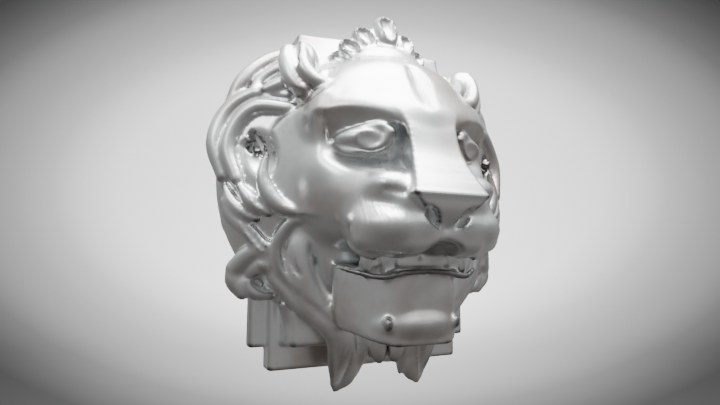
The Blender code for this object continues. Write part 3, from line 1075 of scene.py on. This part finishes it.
@dataclass(frozen=True)
class Paper:
    """The matt paper of the sweep, with a painted pool of light: pale round the mask and painted darker
    towards the corners.
    """

    roughness: float = 0.9
    # Its painted grey by the squared distance from the middle of the view, as it is seen by the camera: a
    # painted pool of light that darkens towards the corners.
    painted_light_spread: tuple[Pair, ...] = (
        (0.0, 0.90), (0.24, 0.92), (0.33, 0.72), (0.40, 0.52), (0.51, 0.38), (0.62, 0.30), (0.76, 0.165),
        (0.90, 0.10), (1.05, 0.05),
    )
    # How far that middle is lifted, and how much more a distance in height counts than one to the side.
    lift: float = 0.03
    height: float = 3.6

    def material(self, eye: Point, look: Point) -> bpy.types.Material:
        """Makes the material.

        Args:
            eye: where the camera is.
            look: where it looks.

        Returns:
            The material.
        """
        paper = bpy.data.materials.new("paper_with_painted_light")
        paper.use_nodes = True
        tree = paper.node_tree
        shader = tree.nodes["Principled BSDF"]
        shader.inputs["Roughness"].default_value = self.roughness
        place = Shade(tree, tree.nodes.new("ShaderNodeTexCoord").outputs["Object"])
        sight = place.node("ShaderNodeVectorMath", {0: place, 1: eye}, operation="SUBTRACT")
        fore = Vector(look).normalized()
        side = fore.cross(Vector((0.0, 0.0, 1.0))).normalized()
        ahead, across, above = (
            place.node("ShaderNodeVectorMath", {0: sight, 1: tuple(axis)}, output=1, operation="DOT_PRODUCT")
            for axis in (fore, side, side.cross(fore))
        )
        rise = above - self.lift * ahead
        away = (across * across + self.height * (rise * rise)) / (ahead * ahead)
        reach = self.painted_light_spread[-1][0]
        stops = [(far / reach, (grey, grey, grey)) for far, grey in self.painted_light_spread]
        # Painted light: the paper is painted pale in the middle of the view and dark towards its corners.
        colour = place.node("ShaderNodeValToRGB", {0: away * (1.0 / reach)}, stops=stops)
        tree.links.new(colour.socket, shader.inputs["Base Color"])
        return paper


@dataclass
class Studio:
    """The pale floor with its sweep, the soft lights and the camera."""

    eye: Point = (-0.2441, -0.5445, -0.0798)
    look: Point = (0.4037, 0.9067, 0.1219)
    lens: float = 24.45
    sensor: float = 36.0
    near: float = 0.01
    # The sweep of paper: the floor's height, its width and depth, how far it rises, its bend and its turn.
    floor: float = -1.3
    width: float = 9.0
    depth: float = 5.6
    rise: float = 5.4
    bend: float = 0.6
    turn: float = -24.0
    paper: Paper = Paper()
    # The light from all round, from below to above.
    sky: tuple[tuple[float, Colour], ...] = (
        (0.0, (0.13, 0.12, 0.115)), (0.35, (0.25, 0.24, 0.235)), (0.5, (0.30, 0.295, 0.29)),
        (0.62, (0.37, 0.374, 0.376)), (0.78, (1.05, 1.07, 1.08)), (1.0, (2.6, 2.62, 2.65)),
    )
    # The soft lights: name, place, side in metres and power in watts.
    lamps: tuple[tuple[str, Point, float, float], ...] = (
        ("overhead", (0.1, -0.35, 1.3), 1.3, 68.0),
        ("side", (-1.1, -0.7, 1.0), 0.6, 5.0),
    )
    aim: Point = (0.0, -0.1, 0.0)
    backlight_place: Point = (0.06, 0.25, 0.02)
    backlight_power: float = 680.0
    backlight_angle: float = 165.0

    def build(self) -> None:
        """Makes the stage, the lights and the camera."""
        self.sweep()
        self.world()
        for lamp in self.lamps:
            self.light(*lamp)
        self.backlight()
        self.camera()

    def sweep(self) -> None:
        """The floor and the backdrop that rises from it in one curve."""
        bpy.ops.object.select_all(action="DESELECT")
        bpy.ops.mesh.primitive_plane_add(size=1.0, location=(0.0, 0.2, self.floor))
        sweep = bpy.context.object
        sweep.name = "studio_sweep"
        sweep.scale = (self.width, self.depth, 1.0)
        bpy.ops.object.transform_apply(location=True, rotation=False, scale=True)
        bpy.ops.object.mode_set(mode="EDIT")
        bpy.ops.mesh.select_mode(type="EDGE")
        bpy.ops.mesh.select_all(action="DESELECT")
        bpy.ops.object.mode_set(mode="OBJECT")
        rear = max(vertex.co.y for vertex in sweep.data.vertices)
        select_edges(sweep, lambda end: abs(end.y - rear) < 1e-4)
        bpy.ops.object.mode_set(mode="EDIT")
        bpy.ops.mesh.extrude_region_move(TRANSFORM_OT_translate={"value": (0, 0, self.rise)})
        bpy.ops.object.mode_set(mode="OBJECT")
        select_edges(sweep, lambda end: abs(end.y - rear) < 1e-4 and abs(end.z - self.floor) < 1e-4)
        bpy.ops.object.mode_set(mode="EDIT")
        bpy.ops.mesh.bevel(offset=self.bend, segments=16, affect="EDGES")
        bpy.ops.object.mode_set(mode="OBJECT")
        sweep.rotation_euler.z = math.radians(self.turn)
        bpy.ops.object.transform_apply(location=False, rotation=True, scale=False)
        bpy.ops.object.shade_smooth()
        sweep.data.materials.append(self.paper.material(self.eye, self.look))
        sweep.visible_glossy = sweep.visible_diffuse = False

    def world(self) -> None:
        """The soft light from all round: bright above, dim and warm below."""
        world = bpy.data.worlds.new("studio_light")
        bpy.context.scene.world = world
        world.use_nodes = True
        tree = world.node_tree
        way = Shade(tree, tree.nodes.new("ShaderNodeTexCoord").outputs["Generated"])
        height = way.node("ShaderNodeSeparateXYZ", {0: way}, output=2)
        ramp = way.node("ShaderNodeValToRGB", {0: 0.5 + 0.5 * height}, stops=self.sky)
        tree.links.new(ramp.socket, tree.nodes["Background"].inputs[0])

    def light(self, name: str, place: Point, size: float, power: float) -> None:
        """A soft square light that faces the mask.

        Args:
            name: what it is called.
            place: where it hangs.
            size: its side in metres.
            power: its power in watts.
        """
        bpy.ops.object.light_add(type="AREA", location=place)
        lamp = bpy.context.object
        lamp.name = name
        lamp.data.size, lamp.data.energy = size, power
        lamp.rotation_euler = (Vector(self.aim) - Vector(place)).to_track_quat("-Z", "Y").to_euler()

    def backlight(self) -> None:
        """The spot hidden behind the mask that brightens the paper round it."""
        bpy.ops.object.light_add(type="SPOT", location=self.backlight_place)
        lamp = bpy.context.object
        lamp.name = "backdrop"
        lamp.data.energy, lamp.data.spot_blend = self.backlight_power, 1.0
        lamp.data.spot_size = math.radians(self.backlight_angle)
        lamp.rotation_euler = Vector(self.look).to_track_quat("-Z", "Y").to_euler()

    def camera(self) -> None:
        """The camera at the photograph's angle."""
        bpy.ops.object.camera_add(location=self.eye)
        camera = bpy.context.object
        camera.rotation_euler = Vector(self.look).to_track_quat("-Z", "Y").to_euler()
        camera.data.sensor_width, camera.data.lens = self.sensor, self.lens
        camera.data.clip_start = self.near
        bpy.context.scene.camera = camera


def main() -> None:
    """Builds the mask and its studio."""
    logging.basicConfig(level=logging.INFO, format="%(message)s")
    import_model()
    bpy.ops.object.select_all(action="DESELECT")
    head = LionHead().build()
    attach(head, BODY)
    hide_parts(NODE)
    LOG.info("%s: %d triangles", head.name, count_triangles(head))
    Studio().build()


if __name__ == "__main__":
    main()
